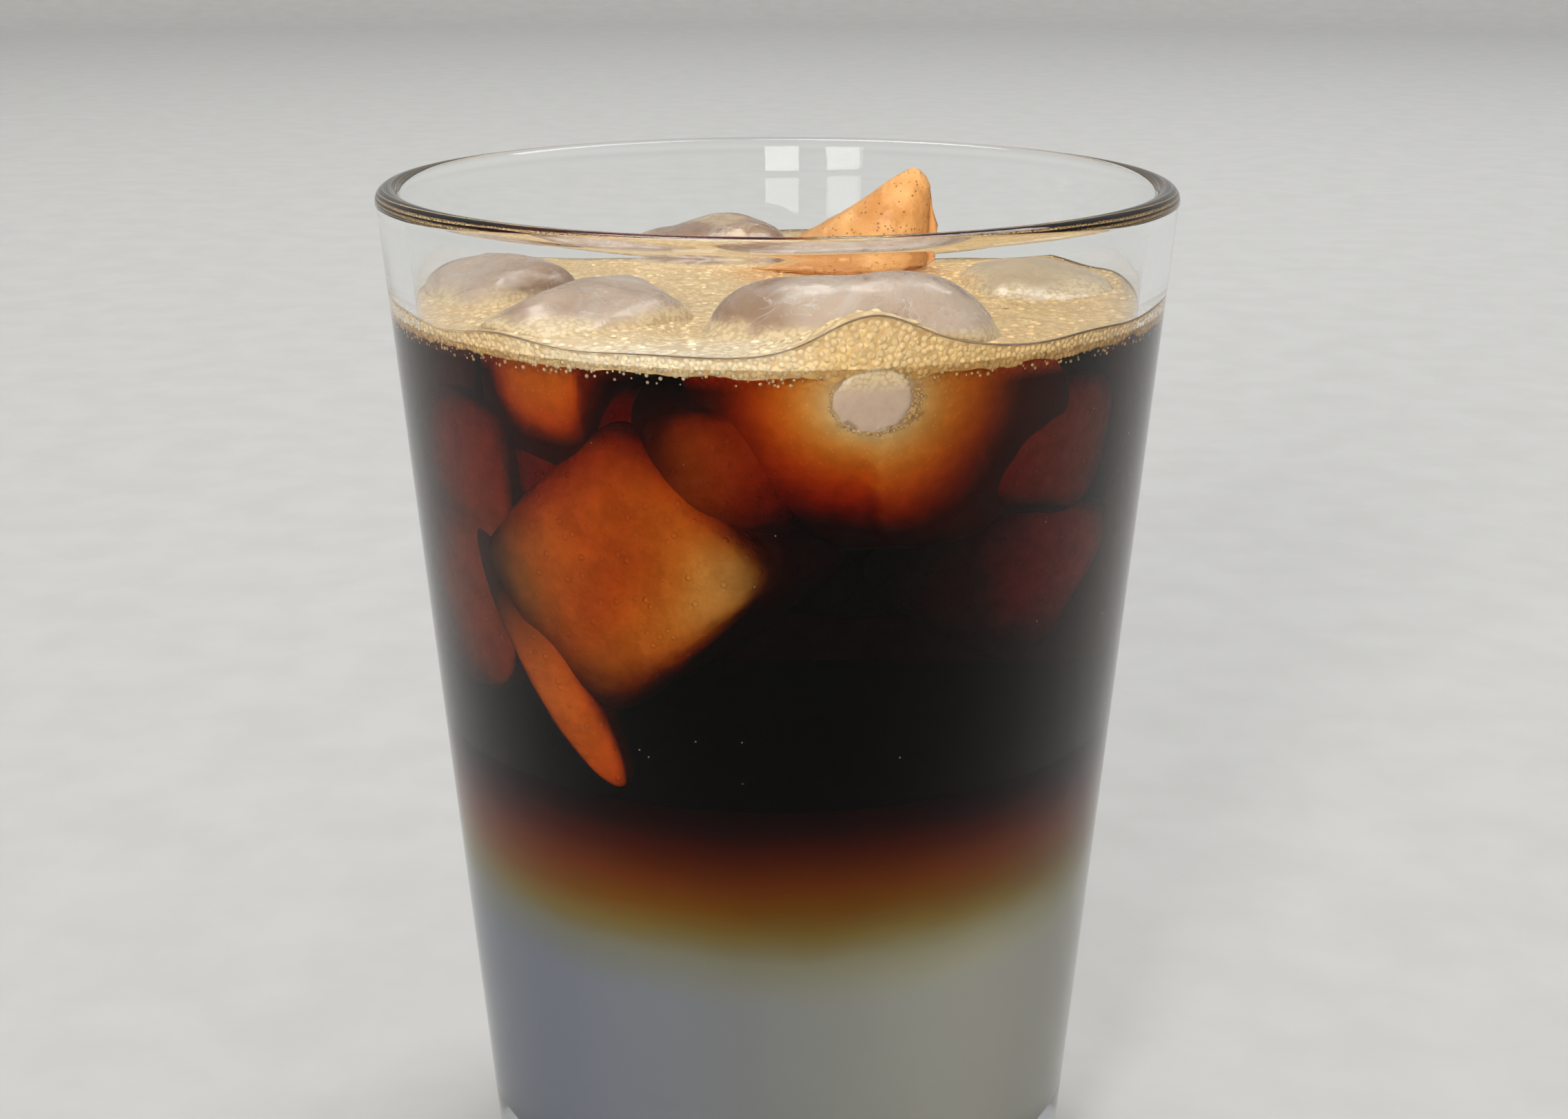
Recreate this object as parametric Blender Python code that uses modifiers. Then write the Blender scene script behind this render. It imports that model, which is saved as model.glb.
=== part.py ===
"""Iced coffee in a tapered glass: a clear layer below, an amber one that passes into the
strong coffee above it, foam on top, ice standing out of the foam and a peak of freshly
poured crema behind the front ice.

Metres, +Z up. The origin is the middle of the glass's underside, and the front,
the side the drink is looked at from, is -Y.
"""

import math

import bmesh
import bpy
from mathutils import Euler, Matrix, Vector

# Glass
HEIGHT = 0.116
RIM_RADIUS = 0.043
FOOT_RADIUS = 0.0332
WALL = 0.0028
FLOOR_THICKNESS = 0.009
FOOT_ROUNDING = 0.0030
INNER_ROUNDING = 0.0065
GLASS_STEPS = 60

# Drink, as heights above the table
CLEAR_TOP = 0.046
AMBER_TOP = 0.0575
COFFEE_TOP = 0.1027
FOAM_TOP = 0.1044
FIT_GAP = 0.0003

# Foam relief: ripples, the climb against each block of ice and the wave at the front
FOAM_RINGS = 11
RIPPLE_HEIGHT = 0.0003
CLIMB_HEIGHT = 0.0012
CLIMB_REACH = 0.0030
WAVE_HEIGHT = 0.0036
WAVE_PLACE = Vector((0.0084, -0.0375))
WAVE_REACH = 0.0060

# Ice: centre, size, turn in degrees and roundness of each block that stands out of the
# foam. A roundness of 2 is an egg shape, and a large one is a sharp box. A block that
# would press against the glass is melted flat, so that some drink is left before it.
ICE_CUTS = 5
ICE_CLEARANCE = 0.0004
ICE_OFF_WALL = 0.0014
ICE_BLOCKS = {
    "ice_front": {
        "centre": (0.0078, -0.0250, 0.0969),
        "size": (0.0290, 0.0205, 0.0275),
        "turn": (45, -4, -12),
        "roundness": 3.2,
        "seed": 1,
    },
    "ice_left": {
        "centre": (-0.0192, -0.0222, 0.0988),
        "size": (0.0240, 0.0140, 0.0180),
        "turn": (11, -8, 45),
        "roundness": 3.4,
        "seed": 2,
    },
    "ice_far_left": {
        "centre": (-0.0288, -0.0062, 0.0984),
        "size": (0.0165, 0.0200, 0.0205),
        "turn": (4, -14, 28),
        "roundness": 3.6,
        "seed": 3,
    },
    "ice_back": {
        "centre": (-0.0080, 0.0234, 0.0954),
        "size": (0.0220, 0.0200, 0.0250),
        "turn": (5, -8, 12),
        "roundness": 3.6,
        "seed": 4,
    },
    "ice_right": {
        "centre": (0.0284, -0.0022, 0.0949),
        "size": (0.0205, 0.0222, 0.0235),
        "turn": (6, 5, 4),
        "roundness": 3.8,
        "seed": 5,
    },
}

# Crema peak: a ramp that rises from the left to a blunt tip over a steep right side
PEAK_RIGHT_X = 0.0175
PEAK_BASE_Y = 0.0160
PEAK_TIP_Y = 0.0135
PEAK_TOP = 0.1157
PEAK_BASE_RADIUS = 0.0104
PEAK_TIP_RADIUS = 0.0020
PEAK_DEPTH_SHARE = 0.76
PEAK_FLARE = 1.35
PEAK_STEPS = 28
PEAK_RINGS = 12

# Colour, roughness and metallic value of each material
COLOURS = {
    "glass": (0.92, 0.95, 0.95, 0.10, 0.0),
    "clear": (0.33, 0.34, 0.34, 0.25, 0.0),
    "amber": (0.180, 0.055, 0.012, 0.25, 0.0),
    "coffee": (0.035, 0.008, 0.004, 0.15, 0.0),
    "foam": (0.72, 0.56, 0.32, 0.60, 0.0),
    "crema": (0.66, 0.32, 0.10, 0.55, 0.0),
    "ice": (0.74, 0.72, 0.70, 0.15, 0.0),
}


def clear_scene():
    for old in list(bpy.data.objects):
        bpy.data.objects.remove(old, do_unlink=True)


def new_collection(name):
    collection = bpy.data.collections.new(name)
    bpy.context.scene.collection.children.link(collection)
    return collection


def material(name):
    red, green, blue, roughness, metallic = COLOURS[name]
    made = bpy.data.materials.new(name)
    made.use_nodes = True
    shader = made.node_tree.nodes["Principled BSDF"]
    shader.inputs["Base Color"].default_value = (red, green, blue, 1.0)
    shader.inputs["Roughness"].default_value = roughness
    shader.inputs["Metallic"].default_value = metallic
    return made


def taper_angle():
    """The wall's lean from upright, in degrees."""
    return math.degrees(math.atan((RIM_RADIUS - FOOT_RADIUS) / HEIGHT))


def outer_radius(z):
    """The glass's outer radius at a height."""
    return FOOT_RADIUS + (RIM_RADIUS - FOOT_RADIUS) * z / HEIGHT


def inner_radius(z):
    """The radius of the glass's hollow at a height."""
    return outer_radius(z) - WALL


def arc(centre, radius, start, end, pieces):
    """Points of an arc in the XZ plane. Angles in degrees, from +X towards +Z."""
    points = []
    for i in range(pieces + 1):
        a = math.radians(start + (end - start) * i / pieces)
        points.append((centre[0] + radius * math.cos(a), centre[1] + radius * math.sin(a)))
    return points


def turned(name, profile, steps, collection):
    """A solid of revolution about Z, as a mesh object. The profile is (radius, height)
    pairs and runs down its outer side."""
    mesh = bpy.data.meshes.new(name)
    edges = [(i, i + 1) for i in range(len(profile) - 1)]
    mesh.from_pydata([(r, 0.0, z) for r, z in profile], edges, [])
    made = bpy.data.objects.new(name, mesh)
    collection.objects.link(made)
    screw = made.modifiers.new("Turn", "SCREW")
    screw.axis = "Z"
    screw.angle = 2 * math.pi
    screw.steps = steps
    screw.render_steps = steps
    screw.use_merge_vertices = True
    screw.merge_threshold = 0.00001
    return made


def made_real(source):
    """Replaces an object's mesh by what its modifiers make of it."""
    graph = bpy.context.evaluated_depsgraph_get()
    mesh = bpy.data.meshes.new_from_object(source.evaluated_get(graph))
    source.modifiers.clear()
    source.data = mesh
    return source


def make_glass(collection):
    tilt = taper_angle()
    rim = WALL / 2
    inner_corner = (inner_radius(FLOOR_THICKNESS + INNER_ROUNDING) - INNER_ROUNDING,
                    FLOOR_THICKNESS + INNER_ROUNDING)
    foot_corner = (outer_radius(FOOT_ROUNDING) - FOOT_ROUNDING, FOOT_ROUNDING)
    rim_centre = (outer_radius(HEIGHT) - rim, HEIGHT - rim)
    profile = [(0.0, FLOOR_THICKNESS)]
    profile += arc(inner_corner, INNER_ROUNDING, -90, -tilt, 5)
    profile += arc(rim_centre, rim, 180 - tilt, -tilt, 7)
    profile += arc(foot_corner, FOOT_ROUNDING, -tilt, -90, 4)
    profile += [(0.0, 0.0)]
    return turned("glass", profile, GLASS_STEPS, collection)


def make_clear_layer(collection):
    """The clear lower part of the drink, which fills the hollow's rounded bottom."""
    tilt = taper_angle()
    corner = (inner_radius(FLOOR_THICKNESS + INNER_ROUNDING) - INNER_ROUNDING,
              FLOOR_THICKNESS + INNER_ROUNDING)
    top = CLEAR_TOP - FIT_GAP / 2
    profile = [(0.0, top), (inner_radius(top) - FIT_GAP, top)]
    profile += arc(corner, INNER_ROUNDING - FIT_GAP, -tilt, -90, 4)
    profile += [(0.0, FLOOR_THICKNESS + FIT_GAP)]
    return turned("clear_layer", profile, GLASS_STEPS, collection)


def layer_profile(bottom, top):
    """The outline of a flat layer of drink, which keeps FIT_GAP off the glass."""
    return [
        (0.0, top),
        (inner_radius(top) - FIT_GAP, top),
        (inner_radius(bottom) - FIT_GAP, bottom),
        (0.0, bottom),
    ]


def make_amber_layer(collection):
    """The part of the drink where the clear layer and the strong coffee mix."""
    profile = layer_profile(CLEAR_TOP + FIT_GAP / 2, AMBER_TOP - FIT_GAP / 2)
    return made_real(turned("amber_layer", profile, GLASS_STEPS, collection))


def make_coffee_layer(collection):
    profile = layer_profile(AMBER_TOP + FIT_GAP / 2, COFFEE_TOP)
    return made_real(turned("coffee_layer", profile, GLASS_STEPS, collection))


def peak_distance(x, y):
    """How far a place is from the middle of the crema peak's base, 1 being its rim."""
    across = (x - (PEAK_RIGHT_X - PEAK_BASE_RADIUS)) / PEAK_BASE_RADIUS
    along = (y - PEAK_BASE_Y) / (PEAK_BASE_RADIUS * PEAK_DEPTH_SHARE)
    return math.hypot(across, along)


def foam_height(x, y):
    """The height of the foam's top at a place, flat where the crema peak stands on it."""
    place = Vector((x, y))
    rise = RIPPLE_HEIGHT * math.sin(260 * x + 0.6) * math.cos(310 * y + 1.1)
    for block in ICE_BLOCKS.values():
        reach = (block["size"][0] + block["size"][1]) / 4
        gap = max((place - Vector(block["centre"][:2])).length - reach, 0.0)
        rise += CLIMB_HEIGHT * math.exp(-gap / CLIMB_REACH)
    rise += WAVE_HEIGHT * math.exp(-((place - WAVE_PLACE).length / WAVE_REACH) ** 2)
    clear_of_peak = min(max(3.0 * (peak_distance(x, y) - 1.35), 0.0), 1.0)
    return FOAM_TOP + rise * clear_of_peak


def make_crema_layer(collection):
    bottom = COFFEE_TOP + FIT_GAP
    edge = inner_radius(FOAM_TOP) - FIT_GAP
    profile = [(edge * i / FOAM_RINGS, FOAM_TOP) for i in range(FOAM_RINGS + 1)]
    profile += [(inner_radius(bottom) - FIT_GAP, bottom), (0.0, bottom)]
    foam = made_real(turned("crema_layer", profile, GLASS_STEPS, collection))
    for vertex in foam.data.vertices:
        x, y, z = vertex.co
        if z < (bottom + FOAM_TOP) / 2:
            continue
        radius = math.hypot(x, y)
        z = foam_height(x, y)
        spread = (inner_radius(z) - FIT_GAP) / edge if radius > edge * 0.999 else 1.0
        vertex.co = (x * spread, y * spread, z)
    return foam


def melt(direction, seed):
    """How far melting has drawn a block's surface in or out, as a factor near 1."""
    x, y, z = direction
    return (
        1.0
        + 0.022 * math.sin(2.6 * x + 1.7 * seed) * math.cos(2.1 * z + 0.9 * seed)
        + 0.018 * math.sin(3.4 * y - 1.3 * seed + 1.5 * z)
        + 0.010 * math.sin(6.1 * x - 4.2 * y + 2.0 * seed)
    )


def make_ice(name, collection, grow=0.0):
    """A melted block of ice. grow adds that much on every side, for its room."""
    block = ICE_BLOCKS[name]
    power = block["roundness"]
    half = Vector(block["size"]) / 2 + Vector((grow, grow, grow))
    shape = bmesh.new()
    bmesh.ops.create_cube(shape, size=2.0)
    bmesh.ops.subdivide_edges(shape, edges=shape.edges[:], cuts=ICE_CUTS, use_grid_fill=True)
    for vertex in shape.verts:
        unit = vertex.co / sum(abs(c) ** power for c in vertex.co) ** (1.0 / power)
        factor = melt(unit, block["seed"])
        vertex.co = Vector(u * h * factor for u, h in zip(unit, half))
    bmesh.ops.triangulate(shape, faces=shape.faces[:])
    mesh = bpy.data.meshes.new(name)
    shape.to_mesh(mesh)
    shape.free()
    turn = Euler([math.radians(angle) for angle in block["turn"]]).to_matrix().to_4x4()
    mesh.transform(Matrix.Translation(block["centre"]) @ turn)
    for vertex in mesh.vertices:
        reach = math.hypot(vertex.co.x, vertex.co.y)
        limit = inner_radius(vertex.co.z) - ICE_OFF_WALL + grow
        if reach > limit:
            vertex.co.x *= limit / reach
            vertex.co.y *= limit / reach
    made = bpy.data.objects.new(name, mesh)
    collection.objects.link(made)
    return made


def make_crema_peak(collection):
    """Thick crema as it stands just after it was poured, leaning to the right."""
    bottom = FOAM_TOP + FIT_GAP
    rise = PEAK_TOP - bottom
    profile = [(0.0, PEAK_TOP)]
    for i in range(1, PEAK_RINGS + 1):
        down = (i / PEAK_RINGS) ** 1.3
        round_tip = math.sqrt(min(down * rise / PEAK_TIP_RADIUS, 1.0))
        slope = (PEAK_BASE_RADIUS - PEAK_TIP_RADIUS) * down**PEAK_FLARE
        profile.append((PEAK_TIP_RADIUS * round_tip + slope, PEAK_TOP - rise * down))
    profile += [(0.0, bottom)]
    peak = made_real(turned("crema_peak", profile, PEAK_STEPS, collection))
    for vertex in peak.data.vertices:
        down = max(PEAK_TOP - vertex.co.z, 0.0) / rise
        radius = PEAK_TIP_RADIUS + (PEAK_BASE_RADIUS - PEAK_TIP_RADIUS) * down**PEAK_FLARE
        middle_y = PEAK_TIP_Y + (PEAK_BASE_Y - PEAK_TIP_Y) * down
        vertex.co.x += PEAK_RIGHT_X - radius
        vertex.co.y = middle_y + vertex.co.y * PEAK_DEPTH_SHARE
    return peak


def cut_room(target, cutters):
    """Cuts the room for the ice out of a solid, whose faces are made flat first."""
    target.modifiers.new("Flat faces", "TRIANGULATE")
    cut = target.modifiers.new("Room for ice", "BOOLEAN")
    cut.operation = "DIFFERENCE"
    cut.solver = "EXACT"
    cut.operand_type = "COLLECTION"
    cut.collection = cutters


def finish(made, name):
    made.data.materials.clear()
    made.data.materials.append(material(name))
    made.data.shade_smooth()
    made.data.set_sharp_from_angle(angle=math.radians(40))


def main():
    clear_scene()
    drink = new_collection("iced_coffee")
    cutters = new_collection("room_for_ice")
    finish(made_real(make_glass(drink)), "glass")
    finish(made_real(make_clear_layer(drink)), "clear")
    finish(make_amber_layer(drink), "amber")
    for name in ICE_BLOCKS:
        finish(make_ice(name, drink), "ice")
        room = make_ice(name, cutters, grow=ICE_CLEARANCE)
        room.name = name + "_room"
        room.hide_render = True
        room.display_type = "WIRE"
    fitted = (
        (make_coffee_layer(drink), "coffee"),
        (make_crema_layer(drink), "foam"),
        (make_crema_peak(drink), "crema"),
    )
    for solid, colour in fitted:
        cut_room(solid, cutters)
        finish(solid, colour)


main()
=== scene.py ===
"""Iced coffee in a tapered glass, finished round its packed solids.

Coffee floats over a clear, faintly hazy mixer, under foam with melting ice and a peak of crema.
Lengths are in metres, Z is up and the glass stands on Z = 0 with its axis on the Z axis.
"""

import math
import random

import bmesh
import bpy
from bpy.props import FloatProperty, FloatVectorProperty, IntProperty, PointerProperty
from mathutils import Euler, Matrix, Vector, noise


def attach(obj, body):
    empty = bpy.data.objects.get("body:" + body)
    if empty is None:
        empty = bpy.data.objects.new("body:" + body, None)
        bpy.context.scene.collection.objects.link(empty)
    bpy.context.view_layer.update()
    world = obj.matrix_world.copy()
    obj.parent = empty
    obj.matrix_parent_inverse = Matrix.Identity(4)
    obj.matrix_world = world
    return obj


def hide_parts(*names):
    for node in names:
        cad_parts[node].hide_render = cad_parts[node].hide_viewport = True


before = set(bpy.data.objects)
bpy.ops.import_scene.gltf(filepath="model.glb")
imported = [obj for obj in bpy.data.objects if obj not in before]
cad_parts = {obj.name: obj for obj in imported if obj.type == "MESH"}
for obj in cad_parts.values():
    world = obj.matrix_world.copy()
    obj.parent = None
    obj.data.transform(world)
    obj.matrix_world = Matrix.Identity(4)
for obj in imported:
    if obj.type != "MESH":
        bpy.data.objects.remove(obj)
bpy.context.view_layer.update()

bl_info = {
    "name": "Iced coffee in a glass",
    "version": (1, 0, 0),
    "blender": (4, 5, 0),
    "location": "View3D > Sidebar > Iced coffee",
    "description": "Builds a glass of iced coffee with foam, melting ice and crema",
    "category": "Add Mesh",
}

BODY = "root"
MM = 0.001
WALL_REACH = 0.0002  # how far a filling reaches into the glass wall
LAYER_LAP = 0.0001  # how far one layer of the drink dips into the next
ICE_LEVEL = 0.1025  # the floating ice looks drowned in coffee below this
ICE_FREE = 0.1060  # and stands free of the wall above this
# painted shade: the dark tone of the sunk ice, partly clear ice showing the coffee and partly shade where
# the ice gets little light
DEEP_COFFEE_SHADE = (0.045, 0.030, 0.018)  # what shows in clear ice inside the coffee

# name: centre, size, turn in degrees, roundness, seed of the melted form
FLOATING_ICE = {
    "ice_front": ((0.0078, -0.0250, 0.0969), (0.0290, 0.0205, 0.0275), (45, -4, -12), 3.2, 1),
    "ice_left": ((-0.0192, -0.0222, 0.0988), (0.0240, 0.0140, 0.0180), (11, -8, 45), 3.4, 2),
    "ice_far_left": ((-0.0288, -0.0062, 0.0984), (0.0165, 0.0200, 0.0205), (4, -14, 28), 3.6, 3),
    "ice_back": ((-0.0080, 0.0234, 0.0954), (0.0220, 0.0200, 0.0250), (5, -8, 12), 3.6, 4),
    "ice_right": ((0.0284, -0.0022, 0.0949), (0.0205, 0.0222, 0.0235), (6, 5, 4), 3.8, 5),
}
SUNK_ICE = {
    "sunk_ice_left": ((-0.0108, -0.0212, 0.0822), (0.0226, 0.0222, 0.0258), (4, 46, -26), 6.5, 6),
    # the sliver is a thin rod of ice painted fully white: partly a side of the big block, partly a painted
    # streak of light refracted at its left edge
    "sunk_ice_light_streak": ((-0.0215, -0.0241, 0.0712), (0.0078, 0.0062, 0.0300), (0, 31, 148.8), 2.2, 7),
    "sunk_ice_side": ((-0.0284, -0.0150, 0.0815), (0.0105, 0.0190, 0.0330), (0, 4, 30), 3.5, 12),
    "sunk_ice_inner": ((-0.0116, -0.0222, 0.0900), (0.0260, 0.0160, 0.0210), (6, 4, -20), 3.0, 13),
    "sunk_ice_right": ((0.0195, -0.0128, 0.0800), (0.0170, 0.0170, 0.0190), (10, 32, 30), 5.0, 8),
    "sunk_ice_corner": ((0.0215, -0.0172, 0.0940), (0.0195, 0.0185, 0.0170), (10, 12, 35), 2.8, 10),
    "sunk_ice_middle": ((-0.0046, -0.0270, 0.0935), (0.0180, 0.0160, 0.0160), (12, -8, 20), 3.0, 11),
    "sunk_ice_back": ((0.0040, 0.0170, 0.0800), (0.0220, 0.0210, 0.0220), (20, 15, 40), 4.0, 9),
}
# where the front block's melted side lies against the wall. Distances from the middle of this patch
# are stretched across and up, and leave depth out, in its form, its colours and its froth alike.
CONTACT = Vector((0.0091, -0.0378, 0.1004))
CONTACT_RADIUS = 0.0034
CONTACT_STRETCH = Vector((0.88, 0.0, 1.15))
# how far each floating block's sunk side stays from the wall at its nearest point, and that point
SUNK_GAP = {
    "ice_front": (0.0, CONTACT),
    "ice_left": (0.0019, Vector((-0.0235, -0.0305, 0.1012))),
    "ice_far_left": (0.0042, Vector((-0.0340, -0.0100, 0.0980))),
    "ice_back": (0.0030, Vector((-0.0080, 0.0370, 0.0980))),
    "ice_right": (0.0028, Vector((0.0330, -0.0170, 0.0940))),
}
# how far a sunk block stays from the wall, and how softly its side there is melted round
SUNK_MELT = {
    "sunk_ice_left": (0.0009, 0.0003),
    "sunk_ice_light_streak": (0.0014, 0.0008),
    "sunk_ice_side": (0.0021, 0.0012),
}
PLAIN_MELT = (0.0018, 0.0016)  # the same for the other sunk blocks
WAVE_PLACE = Vector((0.0084, -0.0375))  # middle of the foam's wave at the front
PEAK_PLACE = (0.0071, 0.0160)  # middle of the crema peak's foot
PEAK_HALF = (0.0104, 0.0104 * 0.76)  # half its foot's width and depth
CREMA_MIDDLE = (0.0070, 0.0120, 0.1050)  # middle of the orange foam round the peak
LAP_TOP = 0.1070  # how high the foam's fine bubbles climb the ice, with the wander added
# where each block is white: the spot, how far its white and its half clear parts
# reach, and how white it is. The white is partly trapped air and partly a painted glow of light
# through the ice. The rest is clear, so that the dark coffee shows in it, and is painted shade too.
LIT_CLOUD_SPOTS = {
    "ice_front": [(CONTACT, 0.0085, 0.0170, 1.0)],
    "ice_left": [((-0.0226, -0.0300, 0.1010), 0.0040, 0.0080, 1.0)],
    "ice_far_left": [
        ((-0.0290, -0.0240, 0.0975), 0.0040, 0.0130, 0.42),
        ((-0.0370, 0.0040, 0.0960), 0.0040, 0.0120, 0.80),
    ],
    "ice_back": [((-0.0080, 0.0340, 0.0960), 0.0050, 0.0130, 0.9)],
    "ice_right": [((0.0370, 0.0020, 0.0950), 0.0050, 0.0130, 0.8)],
    "sunk_ice_left": [((-0.0150, -0.0325, 0.0830), 0.0070, 0.0165, 0.88)],
    "sunk_ice_light_streak": [((-0.0180, -0.0290, 0.0650), 0.0060, 0.0170, 1.0)],
    "sunk_ice_side": [
        ((-0.0300, -0.0220, 0.0920), 0.0060, 0.0120, 0.36),
        ((-0.0290, -0.0210, 0.0760), 0.0060, 0.0130, 0.36),
    ],
    "sunk_ice_inner": [((-0.0120, -0.0290, 0.0930), 0.0100, 0.0190, 0.30)],
    "sunk_ice_right": [
        ((0.0285, -0.0205, 0.0795), 0.0040, 0.0115, 0.45),
        ((0.0320, -0.0060, 0.0820), 0.0030, 0.0110, 0.7),
    ],
    "sunk_ice_corner": [((0.0265, -0.0255, 0.0940), 0.0060, 0.0150, 0.30)],
    "sunk_ice_middle": [((-0.0030, -0.0360, 0.0950), 0.0030, 0.0115, 0.50)],
    "sunk_ice_back": [((0.0040, 0.0290, 0.0800), 0.0060, 0.0150, 0.8)],
}
# blocks that are white nearly up to their edges, and how squarely a side has to face the wall to
# turn white: where it starts and where it is full. Sides facing the wall are painted light, and sides
# turned from it painted shade.
FLAT_SIDED = ("ice_front", "ice_left", "sunk_ice_left", "sunk_ice_inner")
FLAT_FACING = (0.12, 0.66)
ROUND_FACING = (0.62, 1.00)
# where each floating block is clear and where it is cloudy along X, its share of cloud, and how much
# of it a film of foam covers
ICE_LOOK = {
    "ice_front": (-0.0005, 0.0030, 0.3, 0.0),
    "ice_left": (-0.030, -0.012, 0.4, 0.0),
    "ice_far_left": (-0.020, -0.034, 0.3, 0.0),
    "ice_back": (0.000, 0.020, 0.2, 0.35),
    "ice_right": (0.050, 0.060, 0.3, 0.9),
}
# how many bubbles of each kind are thrown; packed ones, strays and domes that overlap drop out
THROWN = {"packed": 90000, "strays": 700, "froth": 260, "specks": 70, "domes": 16000}
# the heights between which they are thrown at the wall
BANDS = {"packed": (0.1020, 0.1085), "strays": (0.1019, 0.1030), "specks": (0.060, 0.101)}


class GlassShape(bpy.types.PropertyGroup):
    """The turned form of the glass."""

    height: FloatProperty(
        name="Height", description="Height of the glass", default=0.116, unit="LENGTH"
    )
    rim_radius: FloatProperty(
        name="Rim radius", description="Outer radius at the rim", default=0.043, unit="LENGTH"
    )
    foot_radius: FloatProperty(
        name="Foot radius", description="Outer radius at the foot", default=0.0332, unit="LENGTH"
    )
    wall: FloatProperty(
        name="Wall", description="Thickness of the side", default=0.0028, unit="LENGTH"
    )
    floor_thickness: FloatProperty(
        name="Floor", description="Thickness of the bottom", default=0.009, unit="LENGTH"
    )
    foot_rounding: FloatProperty(
        name="Foot rounding", description="Radius of the outer foot edge", default=0.003, unit="LENGTH"
    )
    inner_rounding: FloatProperty(
        name="Inner rounding", description="Radius of the inner corner", default=0.0065, unit="LENGTH"
    )
    steps: IntProperty(
        name="Steps", description="Steps round the glass", default=192, min=24
    )
    tint: FloatVectorProperty(
        name="Tint", description="Colour of the glass", default=(0.985, 0.993, 0.990),
        subtype="COLOR", min=0, max=1,
    )


class DrinkShape(bpy.types.PropertyGroup):
    """The levels and colours of the drink's layers."""

    clear_top: FloatProperty(
        name="Clear top", description="Top of the clear layer", default=0.046, unit="LENGTH"
    )
    fade_top: FloatProperty(
        name="Fade top", description="Height where the coffee is at full strength", default=0.0575,
        unit="LENGTH",
    )
    coffee_top: FloatProperty(
        name="Coffee top", description="Top of the coffee, under the foam", default=0.1034, unit="LENGTH"
    )
    haze: FloatVectorProperty(
        name="Haze", description="Colour of the clear layer", default=(0.172, 0.175, 0.177),
        subtype="COLOR", min=0, max=1,
    )
    amber: FloatVectorProperty(
        name="Amber", description="Colour of thin coffee over the clear layer",
        default=(0.160, 0.058, 0.0050), subtype="COLOR", min=0, max=1,
    )
    dark: FloatVectorProperty(
        name="Dark", description="Colour of coffee in depth", default=(0.0045, 0.0007, 0.0006),
        subtype="COLOR", min=0, max=1,
    )
    absorb: FloatVectorProperty(
        name="Absorption", description="Light lost in each millimetre of coffee: red, green, blue",
        default=(0.085, 0.42, 1.05), min=0,
    )


class FoamShape(bpy.types.PropertyGroup):
    """The foam on the coffee and the crema on it."""

    top: FloatProperty(
        name="Foam top", description="Level of the foam between the ice", default=0.1044, unit="LENGTH"
    )
    bottom: FloatProperty(
        name="Foam bottom", description="Lower edge of the foam at the wall", default=0.1027,
        unit="LENGTH",
    )
    cell: FloatProperty(
        name="Cell", description="Width of a foam bubble", default=0.00068, unit="LENGTH"
    )
    pale: FloatVectorProperty(
        name="Pale foam", description="Colour of the drained foam", default=(0.82, 0.71, 0.51),
        subtype="COLOR", min=0, max=1,
    )
    golden: FloatVectorProperty(
        name="Golden foam", description="Colour of the wet foam", default=(0.74, 0.51, 0.23),
        subtype="COLOR", min=0, max=1,
    )
    crema: FloatVectorProperty(
        name="Crema", description="Colour of the crema peak", default=(0.74, 0.39, 0.135),
        subtype="COLOR", min=0, max=1,
    )


class IceShape(bpy.types.PropertyGroup):
    """The finish of the ice."""

    cuts: IntProperty(name="Cuts", description="Cuts along each edge of a block", default=34, min=4)
    ripple: FloatProperty(
        name="Ripple", description="Height of the melt ripples", default=0.00016, unit="LENGTH"
    )
    cloudy: FloatVectorProperty(
        name="Cloudy ice", description="Colour of the white ice", default=(0.72, 0.56, 0.43),
        subtype="COLOR", min=0, max=1,
    )
    clear: FloatVectorProperty(
        name="Clear ice", description="Colour seen in the clear ice", default=(0.44, 0.29, 0.19),
        subtype="COLOR", min=0, max=1,
    )


SHAPES = {
    "iced_glass": GlassShape,
    "iced_drink": DrinkShape,
    "iced_foam": FoamShape,
    "iced_ice": IceShape,
}


def outer_radius(glass, z):
    return glass.foot_radius + (glass.rim_radius - glass.foot_radius) * z / glass.height


def inner_radius(glass, z):
    return outer_radius(glass, z) - glass.wall


def side_tilt(glass):
    """How far the side leans out, in degrees."""
    return math.degrees(math.atan((glass.rim_radius - glass.foot_radius) / glass.height))


def arc(centre, radius, start, end, steps):
    """Points (radius, height) of an arc in the turning plane, angles in degrees."""
    points = []
    for i in range(steps + 1):
        angle = math.radians(start + (end - start) * i / steps)
        points.append((centre[0] + radius * math.cos(angle), centre[1] + radius * math.sin(angle)))
    return points


def inner_corner(glass, reach, start, end):
    """The rounded corner between floor and wall, drawn a reach into the glass."""
    level = glass.floor_thickness + glass.inner_rounding
    centre = (inner_radius(glass, level) - glass.inner_rounding, level)
    return arc(centre, glass.inner_rounding + reach, start, end, 12)


def compass(steps):
    """Even steps round a circle of radius 1: angle, x and y."""
    angles = [2 * math.pi * k / steps for k in range(steps)]
    return [(angle, math.cos(angle), math.sin(angle)) for angle in angles]


def add_piece(name, mesh, finish=None, nodes=()):
    """Links a mesh as a piece that rides the body, with its finish and the solids it replaces."""
    if finish:
        mesh.materials.append(finish)
    piece = bpy.data.objects.new(name, mesh)
    bpy.context.scene.collection.objects.link(piece)
    mesh.shade_smooth()
    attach(piece, BODY)
    if nodes:
        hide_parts(*nodes)


def to_mesh(name, shape):
    mesh = bpy.data.meshes.new(name)
    shape.to_mesh(mesh)
    shape.free()
    return mesh


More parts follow.
